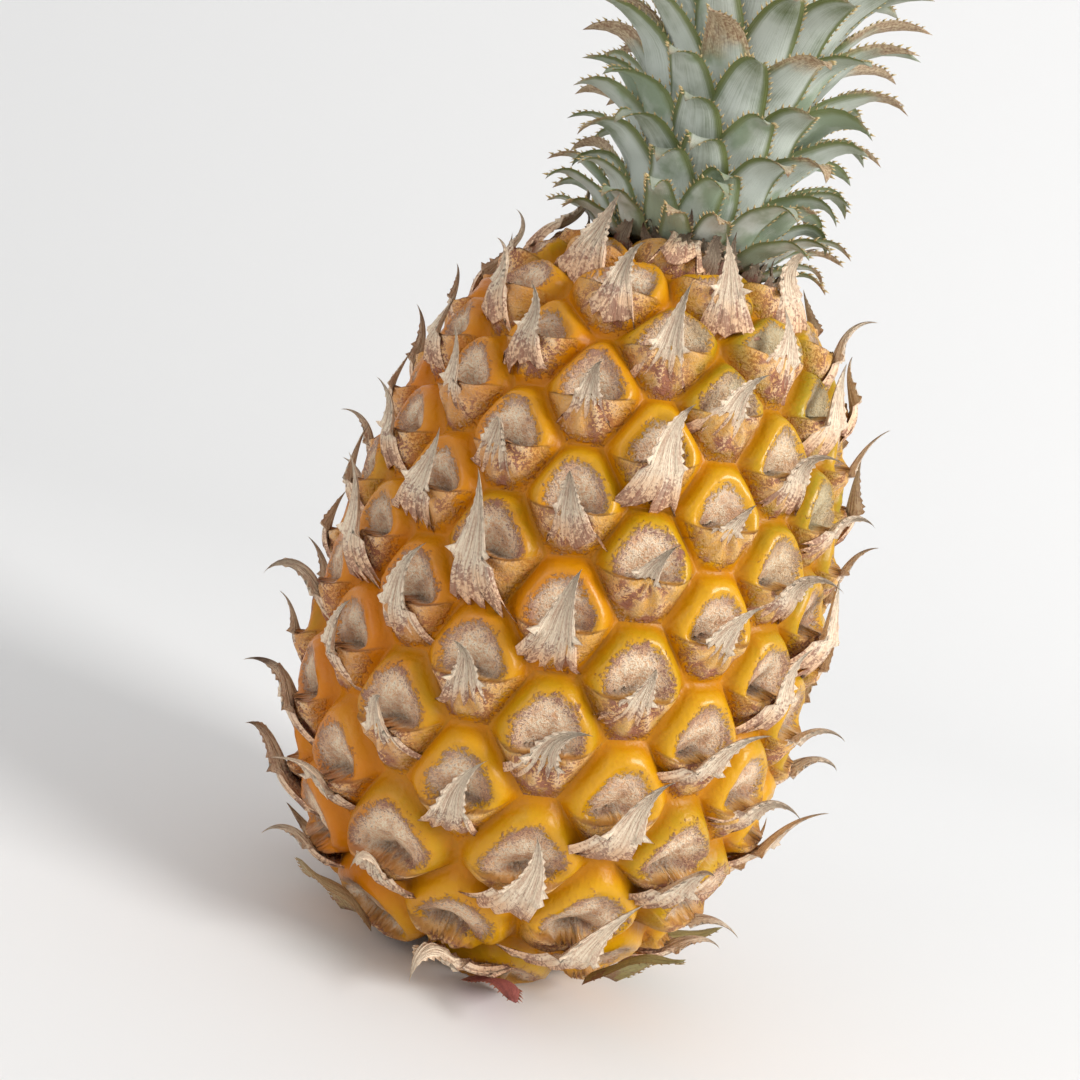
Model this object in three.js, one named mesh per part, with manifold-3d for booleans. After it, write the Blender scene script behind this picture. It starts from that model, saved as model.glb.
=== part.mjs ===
// A whole pineapple, as picked, standing on its cut base with its crown on.
// Millimetres, +Z up. The origin is the centre of the flat base, where the stem was cut.
//
// The pieces: the fruit (one body of fused berries, each an "eye" with its pointed bract), the short stem
// left in its base, the leafy bracts under the lowest eyes, the stem of the crown, and the crown's leaves.
import * as THREE from "three";
import { ConvexHull } from "three/addons/math/ConvexHull.js";
import { mergeVertices } from "three/addons/utils/BufferGeometryUtils.js";
import Module from "manifold-3d";

const wasm = await Module();
wasm.setup();

// ---- Driving sizes of the fruit ----
const fruitHeight = 165; // from the flat base to the shoulder under the crown
const fruitRadius = 58; // over the eyes, where the fruit is widest
const widestHeight = 63; // height of the widest place
const baseRadius = 21.5; // where the rind meets the cut base
const shoulderRadius = 19; // where the rind meets the crown
const baseFullness = 0.41; // exponents of the outline: a lower one makes a squarer end
const shoulderFullness = 0.27;

// ---- Driving sizes of the eyes ----
const divergence = THREE.MathUtils.degToRad(-137.37); // turn from one eye to the next one up the spiral
const firstEyeTurn = THREE.MathUtils.degToRad(58); // where the lowest eye stands, from +X
const eyeAreaAtBase = 637; // square millimetres of rind that one eye covers
const eyeAreaAtShoulder = 325;
const eyeAreaFade = 2.08; // how soon the eyes grow small on the way up
const grooveDepth = 4.2; // from the top of an eye to the corner where three eyes meet
const domeShare = 0.64; // the part of an eye, from its middle, that is domed up
const shoulderDrop = 1.1; // how far the edge of that dome lies under its middle

// ---- Driving sizes of the bracts: the dry blades that stand on the eyes ----
const bractLength = 13;
const bractWidth = 7.5;
const bractThickness = 1.1;
const bractRoot = 3; // how deep a blade's foot is sunk into its eye
const bractLean = THREE.MathUtils.degToRad(33); // how far it leans out from the rind
const bareEyes = 13; // the lowest eyes, whose bracts are the leafy ones below or are worn away

// ---- Driving sizes of the stems ----
const stemRadius = 12.5; // the stem stub in the base
const stemLength = 9;
const crownStemHeight = 62;
const crownStemRadius = 14; // at its foot
const crownStemTip = 3; // radius at its top
const clearance = 0.3; // between pieces that touch

// ---- Driving sizes of the leaves ----
const leafCount = 153; // leaves on the whole spiral of the crown
const leafStep = 3; // every third one of them is modelled here
const leafDivergence = THREE.MathUtils.degToRad(137.508);
const lowestLeafLength = 26;
const highestLeafLength = 74;
const leafWidth = 15; // at the foot of a middle leaf
const leafThickness = 1.5; // along its middle, at the foot
const heartLeafThickness = 1;
const leafWrap = 0.45; // the most a leaf reaches round the axis to each side, in radians
const lowestLeafCurl = THREE.MathUtils.degToRad(122); // lean of the tip, from upright
const highestLeafCurl = THREE.MathUtils.degToRad(10);
const lowestLeafLean = THREE.MathUtils.degToRad(21); // lean of the foot
const highestLeafLean = THREE.MathUtils.degToRad(8);

// ---- Driving sizes of the leafy bracts under the lowest eyes ----
const skirtEyes = [1, 2, 3, 4, 5, 6]; // the eyes that carry one, counted up the spiral
const skirtLength = 27;
const skirtWidth = 11;
const skirtThickness = 1.2;
const skirtDroop = THREE.MathUtils.degToRad(24); // how far it bends down towards its tip

const roundSegments = 40; // facets round a turned piece
const tau = 2 * Math.PI;
const { lerp, smoothstep } = THREE.MathUtils;

// ---------------------------------------------------------------- outline of the fruit

// Half of an egg: full at its widest place and closing to endRadius at the given distance from it.
function reachOf(distance, endRadius, fullness) {
  return distance / Math.sqrt(1 - Math.pow(endRadius / fruitRadius, 1 / fullness));
}
const reachDown = reachOf(widestHeight, baseRadius, baseFullness);
const reachUp = reachOf(fruitHeight - widestHeight, shoulderRadius, shoulderFullness);

function outlineRadius(z) {
  const above = z > widestHeight;
  const share = (z - widestHeight) / (above ? reachUp : reachDown);
  return fruitRadius * Math.pow(Math.max(1 - share * share, 0), above ? shoulderFullness : baseFullness);
}

function outlineSlope(z) {
  const step = 0.01;
  return (outlineRadius(z + step) - outlineRadius(z - step)) / (2 * step);
}

// A point that lies a given depth under the outline, on the level z.
function rindPoint(turn, z, depth) {
  const radius = outlineRadius(z) - depth;
  return new THREE.Vector3(radius * Math.cos(turn), radius * Math.sin(turn), z);
}

// ---------------------------------------------------------------- places of the eyes

function eyeArea(z) {
  return lerp(eyeAreaAtShoulder, eyeAreaAtBase, Math.pow(1 - z / fruitHeight, eyeAreaFade));
}

// Walks up the outline and sets an eye each time the rind passed is one eye's share of it.
function eyeHeights() {
  const step = 0.05;
  const heights = [];
  let eyesPassed = 0;
  for (let z = step / 2; z < fruitHeight; z += step) {
    const rindBand = tau * outlineRadius(z) * Math.hypot(1, outlineSlope(z)) * step;
    eyesPassed += rindBand / eyeArea(z);
    if (eyesPassed > heights.length + 1) heights.push(z);
  }
  return heights;
}

// Each eye: its middle on the rind, the way out, the way up along the rind and the way across.
const eyes = eyeHeights().map((z, index) => {
  const turn = firstEyeTurn + index * divergence;
  const slope = outlineSlope(z);
  const up = new THREE.Vector3(slope * Math.cos(turn), slope * Math.sin(turn), 1).normalize();
  const across = new THREE.Vector3(-Math.sin(turn), Math.cos(turn), 0);
  const outward = new THREE.Vector3().crossVectors(across, up);
  return { middle: rindPoint(turn, z, 0), up, across, outward, size: Math.sqrt(eyeArea(z)) };
});

// ---------------------------------------------------------------- solids and meshes

function geometryOf(positions, triangles) {
  const geometry = new THREE.BufferGeometry();
  geometry.setAttribute("position", new THREE.Float32BufferAttribute(positions.flatMap((p) => p.toArray()), 3));
  return geometry.setIndex(triangles);
}

function solidOf(geometry) {
  const bare = geometry.clone();
  bare.deleteAttribute("normal");
  bare.deleteAttribute("uv");
  const merged = mergeVertices(bare, 1e-4);
  return new wasm.Manifold(
    new wasm.Mesh({
      numProp: 3,
      vertProperties: new Float32Array(merged.attributes.position.array),
      triVerts: new Uint32Array(merged.index.array),
    }),
  );
}

function geometryOfSolid(solid) {
  const mesh = solid.getMesh();
  const geometry = new THREE.BufferGeometry();
  geometry.setAttribute("position", new THREE.BufferAttribute(new Float32Array(mesh.vertProperties), 3));
  return geometry.setIndex(new THREE.BufferAttribute(new Uint32Array(mesh.triVerts), 1));
}

// A closed skin over cross-sections of equally many points, with a flat cap at the foot and a point at the tip.
function loft(sections, tip) {
  const count = sections[0].length;
  const triangles = [];
  for (let row = 0; row + 1 < sections.length; row++)
    for (let k = 0; k < count; k++) {
      const a = row * count + k;
      const b = row * count + ((k + 1) % count);
      triangles.push(a, b, a + count, b, b + count, a + count);
    }
  const last = (sections.length - 1) * count;
  const tipIndex = sections.length * count;
  for (let k = 0; k < count; k++) triangles.push(last + k, last + ((k + 1) % count), tipIndex);
  // The foot is a flat crescent, so it is capped in strips from its left edge to its right one.
  const widest = count / 2 - 1;
  for (let k = 0; k < widest; k++) triangles.push(k, count - 1 - k, k + 1);
  for (let k = 1; k <= widest; k++) triangles.push(k, count - k, count - 1 - k);
  return geometryOf([...sections.flat(), tip], triangles);
}

// ---------------------------------------------------------------- the fruit

// The convex hull of the eyes' middles joins each eye to its neighbours. A point beyond each end closes it.
function eyeNeighbours() {
  const poleReach = 8;
  const poles = [new THREE.Vector3(0, 0, -poleReach), new THREE.Vector3(0, 0, fruitHeight + poleReach)];
  const points = [...eyes.map((eye) => eye.middle), ...poles];
  const indexOf = new Map(points.map((point, index) => [point, index]));
  const hull = new ConvexHull().setFromPoints(points);
  const faces = hull.faces.map((face) => {
    const corners = [];
    let edge = face.edge;
    do {
      corners.push(indexOf.get(edge.head().point));
      edge = edge.next;
    } while (edge !== face.edge);
    return corners;
  });
  return { points, faces };
}

// Each face of the hull gives one corner where three eyes meet, down in the groove. Every eye is then a dome
// over the ring of its corners.
function rindGeometry() {
  const { points, faces } = eyeNeighbours();
  const isEye = (index) => index < eyes.length;
  const positions = [...points];
  const corners = faces.map((face) => {
    const middle = new THREE.Vector3();
    face.forEach((index) => middle.addScaledVector(points[index], 1 / face.length));
    if (face.every(isEye)) middle.copy(rindPoint(Math.atan2(middle.y, middle.x), middle.z, grooveDepth));
    return positions.push(middle) - 1;
  });
  const faceLeftOf = new Map();
  faces.forEach((face, f) =>
    face.forEach((from, k) => faceLeftOf.set(`${from} ${face[(k + 1) % face.length]}`, f)),
  );
  const rims = new Map();
  const rimOf = (index, f) => {
    const key = `${index} ${f}`;
    if (!rims.has(key)) {
      const rim = points[index].clone().lerp(positions[corners[f]], domeShare);
      const onRind = rindPoint(Math.atan2(rim.y, rim.x), THREE.MathUtils.clamp(rim.z, 0, fruitHeight), shoulderDrop);
      rims.set(key, positions.push(rim.z > 0 && rim.z < fruitHeight ? onRind : rim) - 1);
    }
    return rims.get(key);
  };
  const triangles = [];
  for (const [edge, left] of faceLeftOf) {
    const [from, to] = edge.split(" ").map(Number);
    const right = faceLeftOf.get(`${to} ${from}`);
    if (!isEye(from)) {
      triangles.push(from, corners[right], corners[left]);
      continue;
    }
    const rightRim = rimOf(from, right);
    const leftRim = rimOf(from, left);
    triangles.push(from, rightRim, leftRim);
    triangles.push(rightRim, corners[right], corners[left], rightRim, corners[left], leftRim);
  }
  return geometryOf(positions, triangles);
}

// One dry blade, broad at its foot and pointed at its tip, that leans out from its eye.
function bractGeometry(eye) {
  const scale = eye.size / Math.sqrt(eyeAreaAtShoulder);
  const half = (bractWidth * scale) / 2;
  const length = bractLength * scale;
  const blade = new THREE.Shape([
    new THREE.Vector2(-half, -bractRoot),
    new THREE.Vector2(half, -bractRoot),
    new THREE.Vector2(half * 0.55, length * 0.5),
    new THREE.Vector2(0, length),
    new THREE.Vector2(-half * 0.55, length * 0.5),
  ]);
  const geometry = new THREE.ExtrudeGeometry(blade, { depth: bractThickness, bevelEnabled: false });
  geometry.translate(0, 0, -bractThickness / 2);
  const along = eye.up.clone().multiplyScalar(Math.cos(bractLean));
  along.addScaledVector(eye.outward, Math.sin(bractLean));
  const face = new THREE.Vector3().crossVectors(eye.across, along);
  const place = new THREE.Matrix4().makeBasis(eye.across, along, face).setPosition(eye.middle);
  return geometry.applyMatrix4(place);
}

function slab(fromZ, toZ) {
  const side = 4 * fruitRadius;
  return solidOf(new THREE.BoxGeometry(side, side, toZ - fromZ).translate(0, 0, (fromZ + toZ) / 2));
}

function turnedSolid(profile) {
  const outline = profile.map(([radius, z]) => new THREE.Vector2(radius, z));
  return new THREE.LatheGeometry(outline, roundSegments).rotateX(Math.PI / 2);
}

// The rind with its blades, cut flat under the crown and at the base, with the socket that the stem fills.
function fruitGeometry() {
  const beyond = 60; // taller than anything that stands past either end
  const socketRadius = stemRadius + clearance;
  const socketDepth = stemLength + clearance;
  let fruit = solidOf(rindGeometry());
  for (const eye of eyes.slice(bareEyes)) fruit = fruit.add(solidOf(bractGeometry(eye)));
  fruit = fruit.subtract(slab(fruitHeight, fruitHeight + beyond));
  fruit = fruit.subtract(slab(-beyond, 0));
  const socket = [
    [0, -1],
    [socketRadius, -1],
    [socketRadius, socketDepth],
    [0, socketDepth],
  ];
  return geometryOfSolid(fruit.subtract(solidOf(turnedSolid(socket))));
}

// ---------------------------------------------------------------- the stems

function cutStemGeometry() {
  const profile = [
    [0, 0],
    [stemRadius, 0],
    [stemRadius, stemLength],
    [0, stemLength],
  ];
  return turnedSolid(profile);
}

function crownStemRadiusAt(height) {
  return lerp(crownStemRadius, crownStemTip, height / crownStemHeight);
}

const crownFoot = fruitHeight + clearance;

function crownStemGeometry() {
  const tipBevel = crownStemTip / 2;
  const profile = [
    [0, 0],
    [crownStemRadius, 0],
    [crownStemTip, crownStemHeight],
    [crownStemTip - tipBevel, crownStemHeight + tipBevel],
    [0, crownStemHeight + tipBevel],
  ];
  return turnedSolid(profile).translate(0, 0, crownFoot);
}

// ---------------------------------------------------------------- leaves

// A leaf lies on a bell-shaped surface round the crown's axis: its middle line leans and curls in the plane of
// that axis, and its blade wraps round it. Each leaf's bell nests inside the one below, so leaves never meet.
function leafGeometry(index) {
  const share = index / (leafCount - 1); // 0 at the lowest leaf, 1 at the highest
  const turn = index * leafDivergence;
  const length = lerp(highestLeafLength, lowestLeafLength, Math.pow(1 - share, 1.12));
  const width = leafWidth * lerp(0.72, 1, smoothstep(share, 0, 0.35)) * lerp(1, 0.62, smoothstep(share, 0.6, 1));
  const lean = lerp(highestLeafLean, lowestLeafLean, 1 - share);
  const curl = lerp(highestLeafCurl, lowestLeafCurl, Math.pow(1 - share, 1.1));
  const thickness = lerp(leafThickness, heartLeafThickness, share);
  const rows = 8;
  const footHeight = 0.96 * crownStemHeight * Math.pow(share, 1.2) + 0.6;
  let radius = crownStemRadiusAt(footHeight) + clearance + thickness * 0.75;
  let height = crownFoot + footHeight;
  const sections = [];
  let tip = null;
  for (let row = 0; row <= rows; row++) {
    const along = row / rows;
    const angle = lerp(lean, curl, Math.pow(along, 2.2));
    if (row === rows) tip = new THREE.Vector3(radius * Math.cos(turn), radius * Math.sin(turn), height);
    else sections.push(leafSection(turn, radius, height, angle, width, thickness, along));
    const step = length / rows;
    const middleAngle = lerp(lean, curl, Math.pow(along + 0.5 / rows, 2.2));
    radius += step * Math.sin(middleAngle);
    height += step * Math.cos(middleAngle);
  }
  return loft(sections, tip);
}

// Six points round the blade: a sharp edge on each side, and two points on each face between them.
function leafSection(turn, radius, height, angle, width, thickness, along) {
  const half = Math.min(width / 2, leafWrap * radius) * Math.pow(1 - Math.pow(along, 2.4), 0.8);
  const point = (across, offset) => {
    const spread = turn + (across * half) / radius;
    const r = radius - offset * Math.cos(angle);
    return new THREE.Vector3(r * Math.cos(spread), r * Math.sin(spread), height + offset * Math.sin(angle));
  };
  const inner = (thickness / 2) * lerp(1, 0.35, along);
  return [point(-1, 0), point(-0.4, -inner), point(0.4, -inner), point(1, 0), point(0.4, inner), point(-0.4, inner)];
}

// A leafy bract under one of the lowest eyes: it leaves the rind along its slope and droops towards its tip.
function skirtGeometry(eye) {
  const rows = 6;
  const start = eye.middle.clone().addScaledVector(eye.outward, clearance + skirtThickness * 0.6);
  const sections = [];
  const centre = start.clone();
  for (let row = 0; row < rows; row++) {
    const along = row / rows;
    const half = (skirtWidth / 2) * Math.pow(1 - Math.pow(along, 2), 0.8);
    const inner = (skirtThickness / 2) * lerp(1, 0.5, along);
    const bend = skirtDroop * along;
    const ahead = eye.up.clone().applyAxisAngle(eye.across, bend);
    const out = eye.outward.clone().applyAxisAngle(eye.across, bend);
    const point = (across, offset) =>
      centre.clone().addScaledVector(eye.across, across * half).addScaledVector(out, offset * inner);
    sections.push([point(-1, 0), point(-0.4, 1), point(0.4, 1), point(1, 0), point(0.4, -1), point(-0.4, -1)]);
    centre.addScaledVector(ahead, skirtLength / rows);
  }
  return loft(sections, centre);
}

// ---------------------------------------------------------------- the pineapple

const rind = new THREE.MeshStandardMaterial({ color: 0xd98a1c, roughness: 0.45, metalness: 0 });
const leafGreen = new THREE.MeshStandardMaterial({ color: 0x8c9c86, roughness: 0.6, metalness: 0 });
const dryBract = new THREE.MeshStandardMaterial({ color: 0xb9996c, roughness: 0.9, metalness: 0 });
const stemWood = new THREE.MeshStandardMaterial({ color: 0xb8a578, roughness: 0.9, metalness: 0 });

const pineapple = new THREE.Group();

function addPiece(name, geometry, material) {
  const mesh = new THREE.Mesh(geometry, material);
  mesh.name = name;
  pineapple.add(mesh);
}

const twoDigits = (number) => String(number).padStart(2, "0");

addPiece("fruit", fruitGeometry(), rind);
addPiece("cut_stem", cutStemGeometry(), stemWood);
addPiece("crown_stem", crownStemGeometry(), stemWood);
skirtEyes.forEach((eyeIndex, k) => {
  addPiece(`basal_bract_${twoDigits(k + 1)}`, skirtGeometry(eyes[eyeIndex]), dryBract);
});
for (let index = 0; index < leafCount; index += leafStep) {
  addPiece(`crown_leaf_${twoDigits(index / leafStep + 1)}`, leafGeometry(index), leafGreen);
}

export default pineapple;
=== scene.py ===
# %% [markdown]
# # A whole pineapple
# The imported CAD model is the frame: it says where every piece is, and it is never moved. Here each piece
# gets its real surface. All lengths are in metres, so a size in millimetres is written as a number times MM.

# %% Load the frame
import math

import bmesh
import bpy
import numpy as np
from mathutils import Matrix, Vector


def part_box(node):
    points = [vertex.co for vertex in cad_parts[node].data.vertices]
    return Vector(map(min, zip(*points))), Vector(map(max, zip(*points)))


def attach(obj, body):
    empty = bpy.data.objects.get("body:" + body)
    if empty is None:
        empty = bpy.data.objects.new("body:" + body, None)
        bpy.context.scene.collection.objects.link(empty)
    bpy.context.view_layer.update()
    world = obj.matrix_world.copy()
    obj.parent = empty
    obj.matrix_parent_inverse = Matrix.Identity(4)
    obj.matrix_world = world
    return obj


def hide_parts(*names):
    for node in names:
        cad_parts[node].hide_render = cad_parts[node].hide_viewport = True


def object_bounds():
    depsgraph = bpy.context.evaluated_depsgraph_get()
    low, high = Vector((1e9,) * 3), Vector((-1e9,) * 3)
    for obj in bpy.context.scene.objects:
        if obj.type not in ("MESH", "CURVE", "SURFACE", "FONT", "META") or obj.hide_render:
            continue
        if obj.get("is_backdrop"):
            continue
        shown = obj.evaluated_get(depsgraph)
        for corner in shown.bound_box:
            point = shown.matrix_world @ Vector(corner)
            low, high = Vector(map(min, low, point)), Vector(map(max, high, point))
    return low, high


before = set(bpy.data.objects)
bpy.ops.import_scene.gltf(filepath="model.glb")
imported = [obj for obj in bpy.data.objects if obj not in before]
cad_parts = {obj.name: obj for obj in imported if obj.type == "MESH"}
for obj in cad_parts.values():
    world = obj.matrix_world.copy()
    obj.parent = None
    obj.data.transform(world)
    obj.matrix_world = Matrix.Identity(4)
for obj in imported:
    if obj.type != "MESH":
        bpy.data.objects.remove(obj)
cad_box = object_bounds()
MM = 0.001
TAU = 2 * math.pi
fruit_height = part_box("fruit")[1][2]
print("the CAD box is", [tuple(round(v, 4) for v in corner) for corner in cad_box])

# %% [markdown]
# ## Sums that a node tree works out
# Both the shapes and the finishes below are rules: "deep in the groove, high on the rim". A node tree holds
# a rule as a web of Math nodes, which is slow to write and hard to read. This small class lets a rule be
# written as an ordinary sum, and adds the nodes itself. It works in a Geometry Nodes tree and in a material.


# %% A value in a node tree
class Field:
    """A value in a node tree. An ordinary sum on it adds the nodes that work the sum out."""

    def __init__(self, tree, socket):
        self.tree = tree
        self.socket = socket

    def math(self, operation, *others):
        node = self.tree.nodes.new("ShaderNodeMath")
        node.operation = operation
        for slot, value in zip(node.inputs, (self, *others)):
            feed(self.tree, slot, value)
        return Field(self.tree, node.outputs[0])

    def __add__(self, other):
        return self.math("ADD", other)

    def __sub__(self, other):
        return self.math("SUBTRACT", other)

    def __rsub__(self, other):
        return self.math("MULTIPLY_ADD", -1.0, other)

    def __mul__(self, other):
        return self.math("MULTIPLY", other)

    def __truediv__(self, other):
        return self.math("DIVIDE", other)

    def __pow__(self, other):
        return self.math("POWER", other)

    def __abs__(self):
        return self.math("ABSOLUTE")

    def at_most(self, top):
        return self.math("MINIMUM", top)

    def rise(self, low, high):
        """0 below low, 1 above high, and eased between them. With low above high it falls instead."""
        node = self.tree.nodes.new("ShaderNodeMapRange")
        node.interpolation_type = "SMOOTHSTEP"
        feed(self.tree, node.inputs["Value"], self)
        feed(self.tree, node.inputs["From Min"], low)
        feed(self.tree, node.inputs["From Max"], high)
        return Field(self.tree, node.outputs["Result"])

    __radd__ = __add__
    __rmul__ = __mul__


def feed(tree, slot, value):
    if isinstance(value, Field):
        value = value.socket
    if isinstance(value, bpy.types.NodeSocket):
        tree.links.new(value, slot)
    else:
        slot.default_value = value


def noise(tree, place, scale, detail):
    """Cloudy noise from 0 to 1; scale is how many clouds there are in one unit of the place."""
    node = tree.nodes.new("ShaderNodeTexNoise")
    tree.links.new(place, node.inputs["Vector"])
    node.inputs["Scale"].default_value = scale
    node.inputs["Detail"].default_value = detail
    return Field(tree, node.outputs[0])


def parts_of(tree, vector):
    node = tree.nodes.new("ShaderNodeSeparateXYZ")
    tree.links.new(vector, node.inputs[0])
    return [Field(tree, output) for output in node.outputs]


# %% [markdown]
# ## The outline of the fruit
# The CAD fruit is turned from one outline: full at its widest place, and closing to a small flat base and a
# small shoulder under the crown. The same rule is repeated here, because the eyes sit on it. A point on the
# rind is given by its turn round the axis and its way along the outline, from the middle of the base.

# %% Outline sizes, as in the part's source
fruit_radius = 58 * MM
widest_height = 63 * MM
base_radius = 21.5 * MM
shoulder_radius = 19 * MM
base_fullness = 0.41
shoulder_fullness = 0.27
groove_depth = 4.2 * MM


def reach_of(distance, end_radius, fullness):
    return distance / math.sqrt(1 - (end_radius / fruit_radius) ** (1 / fullness))


reach_down = reach_of(widest_height, base_radius, base_fullness)
reach_up = reach_of(fruit_height - widest_height, shoulder_radius, shoulder_fullness)


def outline_radius(z):
    above = z > widest_height
    share = (z - widest_height) / np.where(above, reach_up, reach_down)
    room = np.maximum(1 - share * share, 0)
    return fruit_radius * room ** np.where(above, shoulder_fullness, base_fullness)


outline_steps = 3301
side_z = np.linspace(0, fruit_height, outline_steps)
outline_r = np.concatenate([[0], outline_radius(side_z), [0]])
outline_z = np.concatenate([[0], side_z, [fruit_height]])
outline_way = np.concatenate([[0], np.cumsum(np.hypot(np.diff(outline_r), np.diff(outline_z)))])
whole_way = outline_way[-1]


def rind_point(turn, way):
    radius = np.interp(way, outline_way, outline_r)
    z = np.interp(way, outline_way, outline_z)
    return np.stack([radius * np.cos(turn), radius * np.sin(turn), z], axis=-1)


print("the outline is", round(whole_way / MM), "mm long from pole to pole")

# %% [markdown]
# ## Where the eyes are
# A pineapple lays down its berries one after another, each turned 137.4 degrees from the last, so they
# line up in spirals of 8, 13 and 21. The next one starts as soon as there is room for it, so walking up
# the outline and counting the rind passed, in shares of one eye each, finds every height.

# %% Place the eyes
eye_turn = math.radians(-137.37)
first_turn = math.radians(58)
area_at_base = 637 * MM * MM
area_at_shoulder = 325 * MM * MM
area_fade = 2.08  # how fast the eyes get smaller with height
step = 0.05 * MM


def eye_area(z):
    fade = (1 - z / fruit_height) ** area_fade
    return area_at_shoulder + (area_at_base - area_at_shoulder) * fade


walk_z = np.arange(step / 2, fruit_height, step)
slope = np.gradient(outline_radius(walk_z), step)
passed = np.cumsum(TAU * outline_radius(walk_z) * np.hypot(1, slope) * step / eye_area(walk_z))
eye_count = int(passed[-1])
eye_z = np.interp(np.arange(1, eye_count + 1), passed, walk_z)
eye_turns = first_turn + np.arange(eye_count) * eye_turn
eye_ways = np.interp(eye_z, outline_z[1:-1], outline_way[1:-1])
eye_sizes = np.sqrt(eye_area(eye_z))
eye_middles = rind_point(eye_turns, eye_ways)
eye_slopes = np.interp(eye_z, walk_z, slope)
eye_ups = np.stack([
    eye_slopes * np.cos(eye_turns), eye_slopes * np.sin(eye_turns), np.ones(eye_count)
], -1)
eye_ups /= np.linalg.norm(eye_ups, axis=1)[:, None]
eye_acrosses = np.stack([-np.sin(eye_turns), np.cos(eye_turns), np.zeros(eye_count)], -1)
eye_outs = np.cross(eye_acrosses, eye_ups)
print(eye_count, "eyes, from", round(eye_sizes[0] / MM), "to", round(eye_sizes[-1] / MM), "mm across")

# %% [markdown]
# ## The cell round each eye
# Neighbouring berries press against each other, so each border lies halfway between two eyes. To find who
# is next to whom, the rind is mapped onto a ball in the way a map maker would: every small patch keeps its
# shape. On a ball, the convex hull of the eyes joins each one to its true neighbours, and every face of the
# hull looks straight at a place where three cells meet.

# %% Join each eye to its neighbours
pole_radius = 0.2 * MM  # the map stops this far from the axis, because it has no end there
chart_steps = 6001
chart_way = np.linspace(0, whole_way, chart_steps)
chart_radius = np.maximum(np.interp(chart_way, outline_way, outline_r), pole_radius)
chart_height = np.cumsum((chart_way[1] - chart_way[0]) / chart_radius)
chart_height -= chart_height[np.argmax(chart_radius)]
roundness = 0.3  # draws a cell's corners towards the middle of its three eyes, so no border is very short


def on_ball(turn, way):
    height = np.interp(way, chart_way, chart_height)
    return math.cos(turn) / math.cosh(height), math.sin(turn) / math.cosh(height), math.tanh(height)


def corner_of(face):
    """The turn and the way of the place where the cells of one hull face meet."""
    middle = sum((vert.co for vert in face.verts), Vector()).normalized()
    look = face.normal.lerp(middle, roundness).normalized()
    return math.atan2(look.y, look.x), np.interp(math.atanh(look.z), chart_height, chart_way)


bottom_pole = eye_count  # the two poles come after the eyes, the lower one first
hull = bmesh.new()
for turn, way in zip([*eye_turns, 0, 0], [*eye_ways, 0, whole_way]):
    hull.verts.new(on_ball(turn, way))
hull.verts.index_update()
bmesh.ops.convex_hull(hull, input=hull.verts)
bmesh.ops.triangulate(hull, faces=hull.faces)
bmesh.ops.recalc_face_normals(hull, faces=hull.faces)
hull.faces.index_update()
corners = {face.index: corner_of(face) for face in hull.faces}


def ring_of(vert):
    """The corners round one cell, in order."""
    loop = start = vert.link_loops[0]
    ring = []
    while True:
        ring.append(corners[loop.face.index])
        loop = loop.link_loop_prev.link_loop_radial_next
        if loop == start:
            return ring


hull.verts.ensure_lookup_table()
cell_rings = [ring_of(vert) for vert in hull.verts]
hull.free()
print("cells with 5, 6 and 7 sides:", [sum(len(ring) == n for ring in cell_rings) for n in (5, 6, 7)])

# %% Lay a web over every cell
border_steps = 8  # points on each side of a cell
web_rings = 14  # rings of points from an eye's middle to its border
cap_rings = 3  # the same for the two cells at the poles
crease_drop = 0.19  # how far the crease's middle lies under the eye's middle, in eye sizes
crease_sag = 0.07  # how far the crease hangs down between its middle and each end, in eye sizes
crease_bend = 0.25  # how widely the crease is rounded where its two halves meet, in eye sizes
corner_softness = 15  # how sharply the border distance turns at a cell's corners
corner_level = -0.04  # the crease ends in the corners nearest this height, in eye sizes
corner_pull = 0.6  # how much a corner's distance from that height counts against it


def near_turn(turn, centre):
    return centre + (turn - centre + math.pi) % TAU - math.pi


def border_points(ring, turn):
    """Turns and ways of a cell's corners and along its border, with the turns near the cell's own."""
    turns = near_turn(np.array([t for t, _ in ring]), turn)
    ways = np.array([way for _, way in ring])
    share = np.arange(border_steps) / border_steps
    next_turns = near_turn(np.roll(turns, -1), turns)
    border_turns = (turns[:, None] + (next_turns - turns)[:, None] * share).ravel()
    border_ways = (ways[:, None] + (np.roll(ways, -1) - ways)[:, None] * share).ravel()
    return turns, ways, border_turns, border_ways


def web_faces(start, ring_size, rings):
    """A fan round the middle point and a band of four-sided faces between each pair of rings."""
    k = np.arange(ring_size)
    after = (k + 1) % ring_size
    faces = [(start, start + 1 + a, start + 1 + b) for a, b in zip(k, after)]
    for r in range(rings - 1):
        inner = start + 1 + r * ring_size
        outer = inner + ring_size
        faces += [(inner + a, outer + a, outer + b, inner + b) for a, b in zip(k, after)]
    return faces


def height_over(spots, low, high):
    """How far each spot lies to the left of the line from low to high."""
    way = (high - low) / np.linalg.norm(high - low)
    return way[0] * (spots[:, 1] - low[1]) - way[1] * (spots[:, 0] - low[0])


def border_distance(spots, corner_spots):
    """The way in from the nearest border. It is softened, so that it runs round the corners in a curve."""
    next_corners = np.roll(corner_spots, -1, axis=0)
    inwards = [height_over(spots, a, b) for a, b in zip(corner_spots, next_corners)]
    if np.mean(inwards) < 0:
        inwards = [-distance for distance in inwards]
    total = sum(np.exp(-corner_softness * distance) for distance in inwards)
    return np.maximum(-np.log(total) / corner_softness, 0)


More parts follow.
